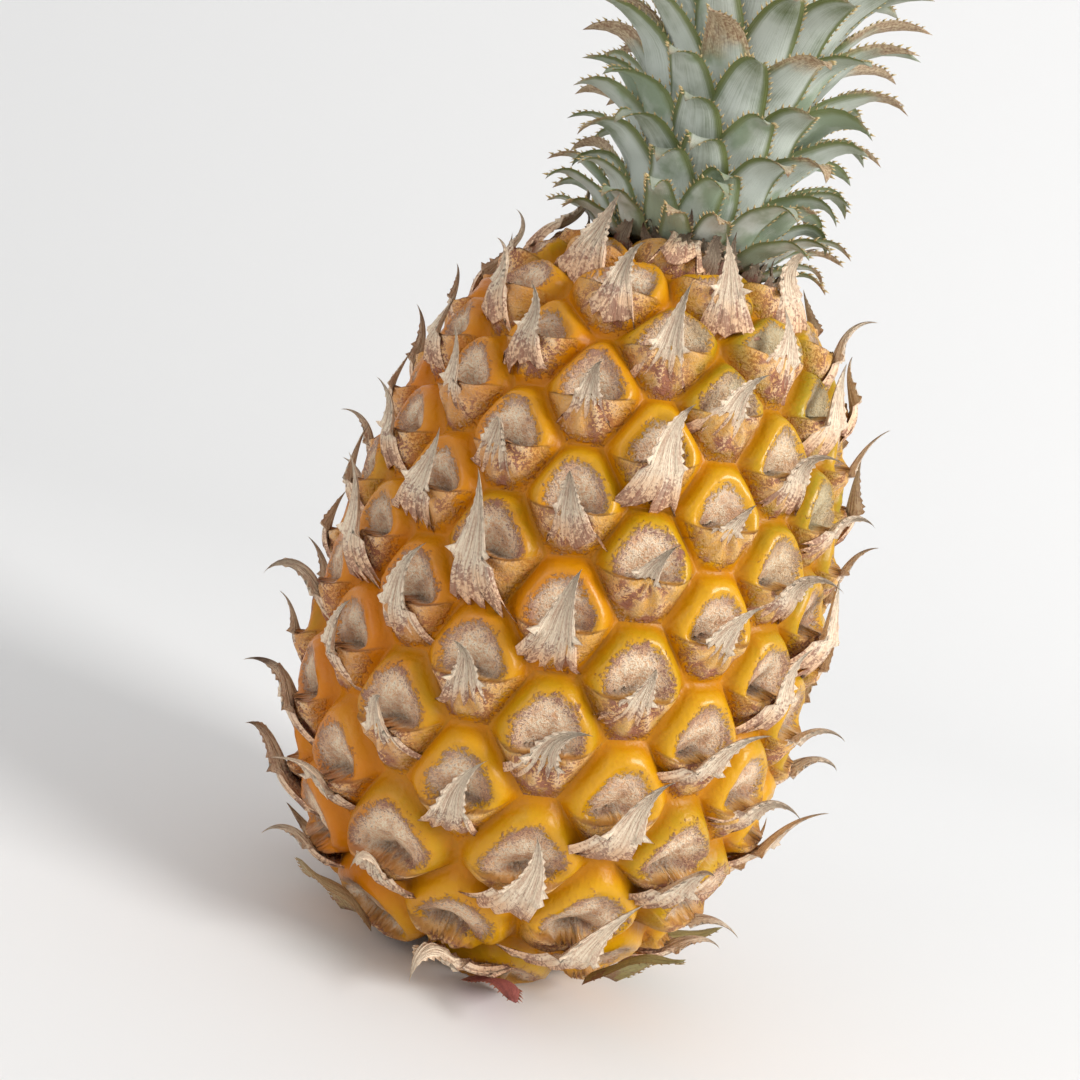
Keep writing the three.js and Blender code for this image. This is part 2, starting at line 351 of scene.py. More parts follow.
def crease_height(spots, corner_spots):
    """How far each spot lies over the crease, which runs from the left corner by the middle to the right."""
    middle = np.array([0, -crease_drop])
    off_level = corner_pull * abs(corner_spots[:, 1] - corner_level)
    left = corner_spots[np.argmax(-corner_spots[:, 0] - off_level)]
    right = corner_spots[np.argmax(corner_spots[:, 0] - off_level)]
    left_height, right_height = height_over(spots, left, middle), height_over(spots, middle, right)
    overlap = np.maximum(crease_bend - abs(left_height - right_height), 0)
    return np.minimum(left_height, right_height) - overlap**2 / (4 * crease_bend)


def in_eye(eye, turns, ways):
    """Places in an eye's own flat frame: across and up from its middle, in eye sizes."""
    reach = math.hypot(*eye_middles[eye][:2])
    return np.stack([(turns - eye_turns[eye]) * reach, ways - eye_ways[eye]], -1) / eye_sizes[eye]


points, faces, eye_uv, eye_lie, eye_chance = [], [], [], [], []
point_count = 0
eye_luck = np.random.default_rng(7).random(len(cell_rings))
for i, ring in enumerate(cell_rings):
    is_eye = i < eye_count
    rings = web_rings if is_eye else cap_rings
    if is_eye:
        turn, way = eye_turns[i], eye_ways[i] - crease_drop * eye_sizes[i]
    else:
        turn, way = 0.0, 0.0 if i == bottom_pole else whole_way
    corner_turns, corner_ways, border_turns, border_ways = border_points(ring, turn)
    share = (np.arange(1, rings + 1) / rings)[:, None]
    spread = share if is_eye else np.ones_like(share)
    turns = np.append(turn, turn * (1 - spread) + border_turns * spread)
    ways = np.append(way, way * (1 - share) + border_ways * share)
    spots = np.zeros((len(turns), 2))
    lie = np.zeros((len(turns), 2))
    if is_eye:
        corner_spots = in_eye(i, corner_turns, corner_ways)
        crease = crease_height(in_eye(i, turns, ways), corner_spots)
        sideways = np.minimum(2 * abs(in_eye(i, border_turns, border_ways)[:, 0]), 1)
        ways[1:] -= (crease_sag * eye_sizes[i] * 4 * share * (1 - share) * sideways).ravel()
        spots = in_eye(i, turns, ways)
        lie = np.stack([border_distance(spots, corner_spots), crease], -1)
    faces += web_faces(point_count, len(border_turns), rings)
    points.append(rind_point(turns, ways))
    eye_uv.append(spots)
    eye_lie.append(lie)
    eye_chance.append(np.full((len(turns), 2), eye_luck[i]))
    point_count += len(turns)
points, eye_uv, eye_lie, eye_chance = (
    np.concatenate(part) for part in (points, eye_uv, eye_lie, eye_chance)
)
print(len(points), "points in the webs")


# %% Weld the cells into one rind
def put_in_scene(name, data):
    thing = bpy.data.objects.new(name, data)
    bpy.context.scene.collection.objects.link(thing)
    return thing


def mesh_object(name, verts, faces, uvs=()):
    """A mesh object. Each UV is given by point, as (name, values). A blade's margins are kept sharp."""
    mesh = bpy.data.meshes.new(name)
    mesh.from_pydata([tuple(v) for v in verts], [], [tuple(int(i) for i in face) for face in faces])
    corner_points = np.empty(len(mesh.loops), dtype=np.int64)
    mesh.loops.foreach_get("vertex_index", corner_points)
    for uv_name, values in uvs:
        layer = mesh.uv_layers.new(name=uv_name)
        layer.data.foreach_set("uv", np.asarray(values, dtype=np.float32)[corner_points].ravel())
    mesh.polygons.foreach_set("use_smooth", [True] * len(mesh.polygons))
    mesh.update()
    if uvs and uvs[0][0] == "blade_uv":
        on_margin = [u in (0, 1) for u, _ in uvs[0][1]]
        for edge in mesh.edges:
            edge.use_edge_sharp = all(on_margin[v] for v in edge.vertices)
    return put_in_scene(name, mesh)


def weld(piece, distance=1e-6):
    work = bmesh.new()
    work.from_mesh(piece.data)
    bmesh.ops.remove_doubles(work, verts=work.verts, dist=distance)
    bmesh.ops.recalc_face_normals(work, faces=work.faces)
    work.to_mesh(piece.data)
    work.free()


eye_layers = [("eye_uv", eye_uv), ("eye_lie", eye_lie), ("eye_chance", eye_chance)]
rind_web = mesh_object("rind_web", points, faces, eye_layers)
weld(rind_web)
print("the rind has", len(rind_web.data.vertices), "points and", len(rind_web.data.polygons), "faces")

# %% [markdown]
# ## The relief of an eye
# Every eye has the same build. Its upper half is a glossy dome, the closed sepals, with a dry patch that
# sinks towards a crease. Below the crease the foot of the bract is fused on, and slopes down into the
# groove. This is one rule for a hundred and forty eyes, so it is a Geometry Nodes tree with named sizes,
# which pushes each point of the web in or out along its normal. Each point knows where it is in its eye.


# %% Helpers for Geometry Nodes trees
def new_tree(name, sizes):
    """A tree with a geometry going through it and a named input for every size."""
    tree = bpy.data.node_groups.new(name, "GeometryNodeTree")
    face = tree.interface
    face.new_socket("Geometry", in_out="INPUT", socket_type="NodeSocketGeometry")
    face.new_socket("Geometry", in_out="OUTPUT", socket_type="NodeSocketGeometry")
    kinds = {float: "NodeSocketFloat", int: "NodeSocketInt"}
    for size_name, value in sizes.items():
        kind = kinds.get(type(value), "NodeSocketMaterial")
        face.new_socket(size_name, in_out="INPUT", socket_type=kind)
    entry = tree.nodes.new("NodeGroupInput")
    return tree, {output.name: output for output in entry.outputs if output.name}


def add_node(tree, kind, links=(), **settings):
    """Adds a node with its settings. Links says what goes into its inputs: a field, a socket or a value."""
    node = tree.nodes.new(kind)
    for key, value in settings.items():
        setattr(node, key, value)
    for slot, value in dict(links).items():
        feed(tree, node.inputs[slot], value)
    return node


def attribute(tree, name, kind="FLOAT_VECTOR"):
    node = add_node(tree, "GeometryNodeInputNamedAttribute", {"Name": name}, data_type=kind)
    return node.outputs[0]


def finish_tree(tree, geometry, material):
    solid = add_node(tree, "GeometryNodeRealizeInstances", {"Geometry": geometry})
    painted = add_node(tree, "GeometryNodeSetMaterial", {"Geometry": solid.outputs[0], "Material": material})
    exit_node = tree.nodes.new("NodeGroupOutput")
    tree.links.new(painted.outputs[0], exit_node.inputs[0])
    print("the tree", tree.name, "has", len(tree.nodes), "nodes")


floor_gap = 0.1 * MM  # nothing may reach lower than this over the floor


def grow(piece, tree, sizes, name):
    """Runs a tree on a piece and keeps the result as a plain mesh with the given name."""
    modifier = piece.modifiers.new("grow", "NODES")
    modifier.node_group = tree
    for item in tree.interface.items_tree:
        if item.in_out == "INPUT" and item.name in sizes:
            modifier[item.identifier] = sizes[item.name]
    piece.update_tag()
    bpy.context.view_layer.update()
    ready = piece.evaluated_get(bpy.context.evaluated_depsgraph_get())
    mesh = bpy.data.meshes.new_from_object(ready)
    mesh.name = name
    grown = put_in_scene(name, mesh)
    piece.modifiers.clear()
    bpy.data.objects.remove(piece)
    pressed = [vert for vert in mesh.vertices if vert.co.z < floor_gap]
    for vert in pressed:
        vert.co.z = floor_gap
    print(name, "has", len(mesh.vertices), "points and", len(mesh.polygons), "faces;", end=" ")
    print(len(pressed), "points are pressed flat by the floor")
    return grown


# %% Build the relief
relief_sizes = {
    "Groove depth": groove_depth,
    "Dish depth": 1.4 * MM,
    "Hollow depth": 3.5 * MM,
    "Lip height": 1.1 * MM,
    "Fold height": 0.45 * MM,
    "Unevenness": 1.2 * MM,
    "Rind": None,
}
upper_slope = 0.2  # how wide the slope into the groove is over the crease, in eye sizes
wider_foot = 0.14  # how much wider it is under the crease
fan_rise = 0.06  # how far the fan of folds starts over the crease, in eye sizes
fan_folds = 9.0  # folds in one radian of the fan


def fold_waves(across, up):
    """Waves from -1 to 1 that spread like a fan from the crease's middle down over the bract's foot."""
    angle = across.math("ARCTAN2", (-crease_drop + fan_rise) - up)
    return (angle * fan_folds).math("COSINE")


def relief_tree():
    tree, size = new_tree("eye relief", relief_sizes)
    sizes = {name: Field(tree, socket) for name, socket in size.items()}
    across, up, _ = parts_of(tree, attribute(tree, "eye_uv"))
    inward, over, _ = parts_of(tree, attribute(tree, "eye_lie"))
    chance, _, _ = parts_of(tree, attribute(tree, "eye_chance"))
    place = add_node(tree, "GeometryNodeInputPosition").outputs[0]

    # most of these are 1 in their own part of the eye and 0 outside it, and all limits are in eye sizes
    side = abs(across)
    above = over.rise(0.0, 0.035)
    inside = inward.rise(0.02, 0.1)
    slope_width = over.rise(-0.05, -0.3) * wider_foot + upper_slope
    fall = (1.0 - (inward / slope_width).at_most(1.0)) ** 2.1
    dish = inward.rise(0.12, 0.26) * above
    hollow = over.rise(0.3, 0.0) * above * side.rise(0.46, 0.06) * inside
    lip = over.rise(-0.22, 0.0) * (1.0 - above) * side.rise(0.62, 0.15) * inside
    folds = fold_waves(across, up) * (1.0 - above) * inward.rise(0.0, 0.1) * side.rise(0.45, 0.2)
    lumps = noise(tree, place, 90.0, 3.0) - 0.5
    grain = noise(tree, place, 360.0, 3.0) - 0.5
    uneven = ((chance - 0.5) * 0.5 + lumps * 0.8 + grain * 0.7) * inward.rise(0.0, 0.14)
    height = (
        lip * sizes["Lip height"]
        + uneven * sizes["Unevenness"]
        - dish * sizes["Dish depth"]
        + folds * sizes["Fold height"]
        - fall * sizes["Groove depth"]
        - hollow * sizes["Hollow depth"]
    )
    normal = add_node(tree, "GeometryNodeInputNormal").outputs[0]
    push = add_node(tree, "ShaderNodeVectorMath", {0: normal, "Scale": height}, operation="SCALE")
    offset = {"Geometry": size["Geometry"], "Offset": push.outputs[0]}
    moved = add_node(tree, "GeometryNodeSetPosition", offset)
    smooth = add_node(tree, "GeometryNodeSetShadeSmooth", {"Geometry": moved.outputs[0]})
    finish_tree(tree, smooth.outputs[0], size["Rind"])
    return tree


# %% [markdown]
# ## Finishes
# Each material is a procedural one: its colours, its roughness and its bump all come from rules on the
# piece's own coordinates. Colours are written as they look on a screen and turned into linear light here.


# %% Helpers for materials
def colour(red, green, blue):
    parts = [v / 255 for v in (red, green, blue)]
    return tuple(v / 12.92 if v <= 0.04045 else ((v + 0.055) / 1.055) ** 2.4 for v in parts) + (1.0,)


def new_finish(name):
    print("painting", name)
    material = bpy.data.materials.new(name)
    material.use_nodes = True
    tree = material.node_tree
    return material, tree, tree.nodes["Principled BSDF"]


def own_place(tree):
    return tree.nodes.new("ShaderNodeTexCoord").outputs["Object"]


def own_uv(tree, name):
    return add_node(tree, "ShaderNodeUVMap", uv_map=name).outputs[0]


def blend(tree, share, first, second):
    """One colour fading into another: the first where share is 0 and the second where it is 1."""
    first, second = (colour(*tint) if isinstance(tint, tuple) else tint for tint in (first, second))
    node = add_node(tree, "ShaderNodeMix", {0: share, 6: first, 7: second}, data_type="RGBA")
    return node.outputs[2]


def coats(tree, base, *layers):
    """Lays colours over a base one after another. Each layer is a share from 0 to 1 and a colour."""
    for share, tint in layers:
        base = blend(tree, share, base, tint)
    return base


def finish_with(tree, shader, base, roughness, relief, distance, strength):
    feed(tree, shader.inputs["Base Color"], base)
    feed(tree, shader.inputs["Roughness"], roughness)
    bump = add_node(tree, "ShaderNodeBump", {"Height": relief, "Distance": distance, "Strength": strength})
    tree.links.new(bump.outputs[0], shader.inputs["Normal"])


# %% [markdown]
# ## The rind's finish
# The sepals ripen to a waxy orange yellow, deeper on the riper side and still green in the creases under
# the crown. The patch in the middle of each eye and the foot of the bract are dead, corky skin: tan, with a
# red-brown mottle and, on the foot, clusters of dark specks. The skin is waxy and the cork is dull.


# %% Paint the rind
def rind_finish():
    material, tree, shader = new_finish("waxy_rind")
    place = own_place(tree)
    x, _, z = parts_of(tree, place)
    across, up, _ = parts_of(tree, own_uv(tree, "eye_uv"))
    inward, over, _ = parts_of(tree, own_uv(tree, "eye_lie"))
    chance, _, _ = parts_of(tree, own_uv(tree, "eye_chance"))
    broad = noise(tree, place, 45.0, 3.0)
    mid = noise(tree, place, 300.0, 4.0)
    fine = noise(tree, place, 1500.0, 5.0)
    speck = noise(tree, place, 3600.0, 3.0)
    above = over.rise(0.0, 0.03)
    side = abs(across)

    # the skin: deeper orange on the riper side, green low on the other side, painted shade deep in the
    # grooves
    ripe = (x * -11.0 + (broad - 0.5) * 1.3 + 0.3).rise(0.0, 1.0)
    green_side = (x * 22.0 + (z - 0.105) * 11.0 + (broad - 0.5) * 2.2 - 0.35).rise(0.0, 1.0)
    low_green = (inward + (mid - 0.5) * 0.12).rise(0.2, 0.0) * (chance.rise(0.4, 0.95) * 0.6 + green_side)
    skin = coats(
        tree,
        blend(tree, ripe, (216, 158, 6), (204, 118, 4)),
        (low_green.at_most(0.75), (152, 138, 20)),
        # golden brown painted shade at the bottom of each groove
        (inward.rise(0.1, 0.0) * 0.7, (188, 112, 0)),
        ((fine * 0.6 + mid * 0.4).rise(0.5, 0.7) * 0.3, (208, 122, 10)),
    )

    # the patch over the crease: pale cork with tan clouds, a mottle, painted shade in the hollow, and a
    # little green
    margin = inward + (mid - 0.5) * 0.2 + (fine - 0.5) * 0.2 + (chance - 0.5) * 0.08
    patch = margin.rise(0.155, 0.225) * above
    mottle = (margin.rise(0.38, 0.2) * 0.32 + fine * 1.5 + speck * 0.9 + mid * 0.5 - 1.45).rise(0.2, 0.42)
    # painted shade in the hollow, where the crease's lip and the bract's point shade it
    painted_hollow_shade = over.rise(0.13, 0.0) * above * side.rise(0.4, 0.1)
    cork = coats(
        tree,
        blend(tree, (fine * 0.5 + speck * 0.5).rise(0.36, 0.62), (232, 184, 140), (255, 241, 214)),
        (mid.rise(0.46, 0.66) * 0.5, (190, 132, 92)),
        (mottle * (chance * 0.45 + 0.4), (142, 80, 64)),
        (painted_hollow_shade * 0.7, (96, 54, 36)),
        (green_side * chance.rise(0.2, 0.8) * 0.6, (176, 170, 128)),
    )

    # the bract's foot under the crease: painted highlight on the fold crests, and specks that keep to
    # clusters
    foot = over.rise(0.01, -0.02) * margin.rise(0.01, 0.09) * (side + (mid - 0.5) * 0.3).rise(0.64, 0.42)
    cluster = noise(tree, place, 150.0, 3.0).rise(0.4, 0.56)
    waves = fold_waves(across, up) * side.rise(0.45, 0.2)
    low_end = up.rise(-0.3, -0.6) * 0.08 + side.rise(0.5, 0.1) * 0.03
    # the specks lean a little into the fold valleys, as painted shade
    specks = (fine * 0.75 + speck * 0.4 + mid * 0.3 + low_end - waves * 0.05).rise(0.7, 0.8)
    thick = (side + (mid - 0.5) * 0.35 - inward * 0.5).rise(0.46, 0.12) * 0.6 + 0.36
    flank = coats(
        tree,
        blend(tree, (fine * 0.6 + speck * 0.4).rise(0.42, 0.62), (240, 188, 126), (255, 228, 190)),
        # painted highlight on the crests of the folds
        (waves.rise(0.3, 1.0) * 0.5, (240, 212, 178)),
        (specks * (cluster * 0.6 + 0.25), (138, 72, 64)),
    )

    # all of them together, with a brown line where the bract's point leaves the crease
    line = abs(over).rise(0.022, 0.004) * inward.rise(0.0, 0.05) * (side + (mid - 0.5) * 0.4).rise(0.6, 0.3)
    base = coats(
        tree,
        skin,
        (patch, cork),
        (foot * thick * (cluster * 0.55 + 0.45), flank),
        (line * 0.6, (136, 78, 40)),
    )
    dry = (patch + foot).at_most(1.0)
    roughness = dry * 0.4 + (fine - 0.5) * 0.12 + 0.36
    waxy = noise(tree, place, 700.0, 3.0) * 0.5
    relief = (fine * 1.2 + speck * 0.7) * dry + mid * 0.3 + dry * 0.5 + waxy * (1.0 - dry)
    finish_with(tree, shader, base, roughness, relief, 0.6 * MM, 0.8)
    feed(tree, shader.inputs["Coat Weight"], inward.rise(0.05, 0.16) * (1.0 - dry) * 0.5)
    shader.inputs["Coat Roughness"].default_value = 0.2
    shader.inputs["Specular IOR Level"].default_value = 0.24
    return material


rind_material = rind_finish()
relief_sizes["Rind"] = rind_material
fruit_rind = grow(rind_web, relief_tree(), relief_sizes, "fruit_rind")
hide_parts("fruit")
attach(fruit_rind, "root")

# %% [markdown]
# ## A blade
# Bracts and leaves are all blades: broad at the foot, pointed at the tip, thin at the edges. One function
# lofts any of them. It is told where a point lies by how far along the blade it is, how far across, and
# how high over its middle surface, so each kind of blade only has to say how it bends.


# %% Loft a blade
blade_columns = 7


def blade(place, rows, thickness, columns=blade_columns):
    """Points, faces and UVs of a closed blade. place(along, across, lift) gives a point in space."""
    across = np.linspace(-1, 1, columns)
    around = np.concatenate([across, across[-2:0:-1]])
    side = np.array([1] * columns + [-1] * (columns - 2))
    ring = len(around)
    verts, uvs = [], []
    for row in range(rows):
        along = row / rows
        thick = thickness(along) / 2
        for a, s in zip(around, side):
            verts.append(place(along, a, s * thick * (1 - abs(a) ** 3)))
            uvs.append(((a + 1) / 2, along))
    verts.append(place(1.0, 0.0, 0.0))
    uvs.append((0.5, 1.0))
    faces = []
    for row in range(rows - 1):
        for k in range(ring):
            a, b = row * ring + k, row * ring + (k + 1) % ring
            faces.append((a, b, b + ring, a + ring))
    last = (rows - 1) * ring
    faces += [(last + k, last + (k + 1) % ring, len(verts) - 1) for k in range(ring)]
    under = [0] + [ring - k for k in range(1, columns - 1)] + [columns - 1]
    for k in range(columns - 1):
        quad = [k + 1, k, under[k], under[k + 1]]
        faces.append([v for n, v in enumerate(quad) if v not in quad[:n]])
    return verts, faces, uvs


def lerp(a, b, share):
    return a + (b - a) * share


def ease(share, low, high):
    share = min(max((share - low) / (high - low), 0.0), 1.0)
    return share * share * (3 - 2 * share)


# %% [markdown]
# ## The bracts of the eyes
# Each berry grew in the angle of a small leaf, the bract. Its foot spreads in folds over the lower half of
# the eye, and its dry point lifts off at the crease and curls up over the upper half. The points are all
# alike and all different, so a few blades are made with different curls, and a Geometry Nodes tree
# picks one for each eye, turns it to face out of the rind, and varies its size and lean.

# %% Make a few bract blades
standard_eye = 20 * MM
blade_luck = np.random.default_rng(21)
bract_columns = 11
foot_rows, bract_rows = 8, 26
crease_y = -crease_drop * 20  # from here on in millimetres, for an eye of the standard size
foot_y = -10.4  # where the foot ends, in the groove under the eye
foot_half = 7.6  # half the foot's width at that end
foot_drop = 5.6  # how much lower that end lies than the throat
throat_z = 1.6  # how far out of the rind the throat is, where the dry point leaves the crease


def bract_blade(lean, curl, swing, length, width):
    """A bract in its eye's own directions: X across the eye, Y up the rind and Z out of it."""
    free_rows = bract_rows - foot_rows
    spot = np.array([0.0, crease_y, throat_z])
    centre, heading = [], []
    for row in range(free_rows + 1):
        share = row / free_rows
        tilt = lean + (curl - lean) * share**1.5
        sway = swing * share**1.3
        ahead = np.array([math.sin(sway), math.cos(sway) * math.cos(tilt), math.sin(tilt)])
        ahead /= np.linalg.norm(ahead)
        centre.append(spot)
        heading.append(ahead)
        spot = spot + ahead * length / free_rows
    teeth = blade_luck.uniform(0.0, 1.4, bract_rows + 1)
    ragged = blade_luck.uniform(-1.2, 1.8, bract_columns)
    folds = blade_luck.uniform(1.0, 2.4, bract_columns) * np.where(np.arange(bract_columns) % 2, 1, -1)
    lean_over = blade_luck.uniform(-0.9, 0.9)

    def place(along, across, lift):
        row = round(along * bract_rows)
        column = round((across + 1) / 2 * (bract_columns - 1))
        share = row / foot_rows
        if share < 1:
            y = lerp(foot_y + ragged[column], crease_y, share)
            x = across * lerp(foot_half, width, share**0.55) + lean_over * (1 - share)
            fallen = (crease_y - y) / (crease_y - foot_y)
            drop = foot_drop * fallen**1.9 + 1.4 * across**2 * (1 - share)
            fold = folds[column] * lerp(0.5, 0.3, share)
            return x * MM, y * MM, (throat_z - drop + fold + lift) * MM
        row -= foot_rows
        share = row / free_rows
        tooth = 0
        if abs(across) == 1:
            tooth = (0.3 if row % 2 else -0.12) * teeth[row] * min(4 * (1 - share), 1)
        half = width * (1 - share) ** 1.4 * (1 + tooth)
        fold = 0.5 * half * across**2 + folds[column] * lerp(0.3, 0.0, share**0.7)
        side = np.array([math.cos(swing * share), -math.sin(swing * share), 0])
        face = np.cross(side, heading[row])
        return tuple((centre[row] + side * half * across + face * (fold + lift)) * MM)

    return blade(place, bract_rows, lambda along: lerp(0.45, 0.16, along), bract_columns)


bract_kinds = [  # in degrees its lean, the curl of its tip and its swing; in mm its length and half width
    (14, 46, 46, 13.5, 3.7),
    (24, 84, -30, 12.5, 3.4),
    (10, -10, 56, 14.0, 3.9),
    (28, 124, 22, 13.0, 3.6),
    (16, 6, -40, 12.0, 4.0),
    (30, 160, 50, 13.5, 3.2),
    (20, 60, 10, 15.5, 3.7),
    (18, 34, 86, 13.0, 3.4),
]
bract_shapes = []
for number, (lean, curl, swing, length, width) in enumerate(bract_kinds):
    angles = [math.radians(angle) for angle in (lean, curl, swing)]
    verts, quads, uvs = bract_blade(*angles, length, width)
    shape = mesh_object(f"bract_shape_{number}", verts, quads, [("blade_uv", uvs)])
    weld(shape, 1e-7)
    bract_shapes.append(shape)
print(len(bract_shapes), "bract blades of", len(bract_shapes[0].data.polygons), "faces")


# %% Set a bract on every eye
def point_cloud(name, places, outs, ups, sizes):
    """A mesh of loose points that each know which way they face and how big they are."""
    mesh = bpy.data.meshes.new(name)
    mesh.from_pydata([tuple(p) for p in places], [], [])
    for attribute_name, kind, key, values in (
        ("outward", "FLOAT_VECTOR", "vector", outs),
        ("upward", "FLOAT_VECTOR", "vector", ups),
        ("size", "FLOAT", "value", sizes),
    ):
        layer = mesh.attributes.new(attribute_name, kind, "POINT")
        layer.data.foreach_set(key, np.asarray(values, dtype=np.float32).ravel())
    return put_in_scene(name, mesh)


def random_field(tree, low, high, seed, step, kind="FLOAT"):
    """A random value for each point. Values with different steps are drawn apart from each other."""
    low_slot, high_slot, output = {"FLOAT": (2, 3, 1), "INT": (4, 5, 2)}[kind]
    links = {low_slot: low, high_slot: high, "Seed": Field(tree, seed) + float(step)}
    return add_node(tree, "FunctionNodeRandomValue", links, data_type=kind).outputs[output]


bract_sizes = {"Tilt": 0.24, "Size change": 0.24, "Seed": 5, "Bract": None}


def bract_tree():
    tree, size = new_tree("bracts on points", bract_sizes)
    kinds = add_node(tree, "GeometryNodeJoinGeometry")
    for shape in reversed(bract_shapes):
        info = add_node(tree, "GeometryNodeObjectInfo", {"As Instance": True})
        info.inputs["Object"].default_value = shape
        tree.links.new(info.outputs["Geometry"], kinds.inputs[0])
    facing = add_node(tree, "FunctionNodeAxesToRotation", primary_axis="Z", secondary_axis="Y")
    tree.links.new(attribute(tree, "outward"), facing.inputs[0])
    tree.links.new(attribute(tree, "upward"), facing.inputs[1])
    tilt = Field(tree, size["Tilt"])
    turns = [Field(tree, random_field(tree, -1.0, 1.0, size["Seed"], n)) * tilt for n in (1, 2, 3)]
    jolt = add_node(tree, "ShaderNodeCombineXYZ", dict(enumerate(turns)))
    as_turn = add_node(tree, "FunctionNodeEulerToRotation", {0: jolt.outputs[0]})
    both = {0: facing.outputs[0], 1: as_turn.outputs[0]}
    turned = add_node(tree, "FunctionNodeRotateRotation", both, rotation_space="LOCAL")
    change = Field(tree, random_field(tree, -1.0, 1.0, size["Seed"], 4)) * Field(tree, size["Size change"])
    scale = Field(tree, attribute(tree, "size", "FLOAT")) * (change + 1.0)
    pick = random_field(tree, 0, len(bract_shapes) - 1, size["Seed"], 5, "INT")
    copies = add_node(tree, "GeometryNodeInstanceOnPoints", {
        "Points": size["Geometry"], "Instance": kinds.outputs[0], "Pick Instance": True,
        "Instance Index": pick, "Rotation": turned.outputs[0],
    })
    feed(tree, copies.inputs["Scale"], scale)
    finish_tree(tree, copies.outputs[0], size["Bract"])
    return tree


# %% [markdown]
# ## Dry papery finish
# A dead bract is bleached along its point and fibrous along its length. Its foot is tan with red-brown
# blotches, and some of the tips are dead and dark. Each kind has its own three colours, and its own share
# of dark tips.


# %% Paint the dry bracts
def bract_finish(name, pale, tan, dark, dark_share):
    material, tree, shader = new_finish(name)
    place = own_place(tree)
    across, along, _ = parts_of(tree, own_uv(tree, "blade_uv"))
    stretch = add_node(tree, "ShaderNodeCombineXYZ", {0: across * 34.0, 1: along * 3.0})
    fibre = noise(tree, stretch.outputs[0], 1.0, 3.0)
    mid = noise(tree, place, 300.0, 3.0)
    fine = noise(tree, place, 1700.0, 4.0)
    broad = noise(tree, place, 55.0, 2.0)
    point = (along + (mid - 0.5) * 0.3).rise(0.05, 0.3)
    blotch = (mid * 0.6 + fine * 0.6 + along.rise(0.3, 0.0) * 0.1).rise(0.62, 0.74) * along.rise(0.4, 0.2)
    tired = (broad + (mid - 0.5) * 0.4).rise(1.0 - dark_share, 1.12 - dark_share)
    edge = abs(across - 0.5).rise(0.42, 0.5) * point
    base = coats(
        tree,
        blend(tree, point, tan, pale),
        ((fibre * 0.85 + fine * 0.35).rise(0.52, 0.76) * 0.6, dark),
        (blotch * 0.65, (140, 84, 70)),
        (tired * along.rise(0.4, 0.95) * 0.85, (98, 56, 40)),
        (edge * 0.4, (160, 110, 66)),
    )
    roughness = fine * 0.2 + 0.68
    relief = fibre + fine * 0.5
    finish_with(tree, shader, base, roughness, relief, 0.5 * MM, 0.9)
    return material


bract_material = bract_finish("dry_bract", (255, 236, 208), (252, 212, 172), (180, 122, 88), 0.36)
bract_sizes["Bract"] = bract_material
first_bract = 7  # the eyes below it carry the leafy bracts instead
carried = slice(first_bract, eye_count)
eye_cloud = point_cloud(
    "eye_cloud",
    eye_middles[carried],
    eye_outs[carried],
    eye_ups[carried],
    eye_sizes[carried] / standard_eye,
)
eye_bracts = grow(eye_cloud, bract_tree(), bract_sizes, "eye_bracts")
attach(eye_bracts, "root")

# %% [markdown]
# ## The collar under the crown
# Where the crown leaves the fruit, the last bracts carried no berry. They stay as a ring of short, dead,
# grey-brown scraps. They are the same blades, set closer and steeper on the shoulder.

# %% Set the collar
collar_luck = np.random.default_rng(33)
collar_count = 44
collar_outer, collar_inner = 24.5, 15.5  # both in millimetres from the axis
collar_lift = 3  # how far up its own slope each scrap is moved, in millimetres
golden_turn = math.radians(137.508)
turn_luck = collar_luck.uniform(-0.1, 0.1, collar_count)
collar_turn = np.arange(collar_count) * golden_turn + turn_luck
collar_share = np.arange(collar_count) / collar_count
collar_radius = lerp(collar_outer, collar_inner, collar_share) * MM
collar_lean = lerp(math.radians(50), math.radians(78), collar_share)
turn_x, turn_y = np.cos(collar_turn), np.sin(collar_turn)
lean_x, lean_z = np.sin(collar_lean), np.cos(collar_lean)
outs = np.stack([turn_x * lean_x, turn_y * lean_x, lean_z], -1)
ups = np.stack([-turn_x * lean_z, -turn_y * lean_z, lean_x], -1)
shoulder = outline_way > whole_way / 2  # the outline is as narrow as this at both its ends
collar_way = np.interp(collar_radius, outline_r[shoulder][::-1], outline_way[shoulder][::-1])
places = rind_point(collar_turn, collar_way)
print("the collar stands", [round(places[k, 2] / MM, 1) for k in (0, -1)], "mm over the base")
collar_sizes = collar_luck.uniform(0.4, 0.68, collar_count)
collar_cloud = point_cloud("collar_cloud", places + ups * collar_lift * MM, outs, ups, collar_sizes)
collar_material = bract_finish("dead_collar", (158, 140, 118), (140, 112, 88), (92, 70, 56), 0.55)
bract_sizes["Bract"] = collar_material
bract_sizes["Tilt"] = 0.4
bract_sizes["Seed"] = 9
crown_collar = grow(collar_cloud, bract_tree(), bract_sizes, "crown_collar")
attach(crown_collar, "root")
for shape in bract_shapes:
    bpy.data.objects.remove(shape)

# %% [markdown]
# ## The leaves of the crown
# The crown is a short stem wrapped in leaves, also laid down in one spiral. The low ones are short and curl
# right over, and the ones near the heart are long and stand up. Each is a stiff channel with a sharp point
# and small hooked thorns along both edges. The CAD model has every third leaf as its own node, so those
# leaves are pieces of their own here, and the leaves between them are joined into three pieces. Thirty
# more, small and curled flat, hide the joint at the crown's foot.

# %% Crown sizes, as in the part's source
clearance = 0.3 * MM
crown_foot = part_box("crown_stem")[0][2]
crown_stem_height = 62 * MM
crown_stem_radius = 14 * MM
crown_stem_tip = 3 * MM
leaf_count = 153
leaf_step = 3  # one leaf in three is a node of its own
leaf_wrap = 0.58  # the most that each half of a leaf may wrap round the axis, in radians
leaf_rows = 16
leaf_steps = 4  # steps taken along the spine for each row
leaf_luck = np.random.default_rng(12)
print(leaf_count, "leaves, and one in", leaf_step, "is a piece of its own")


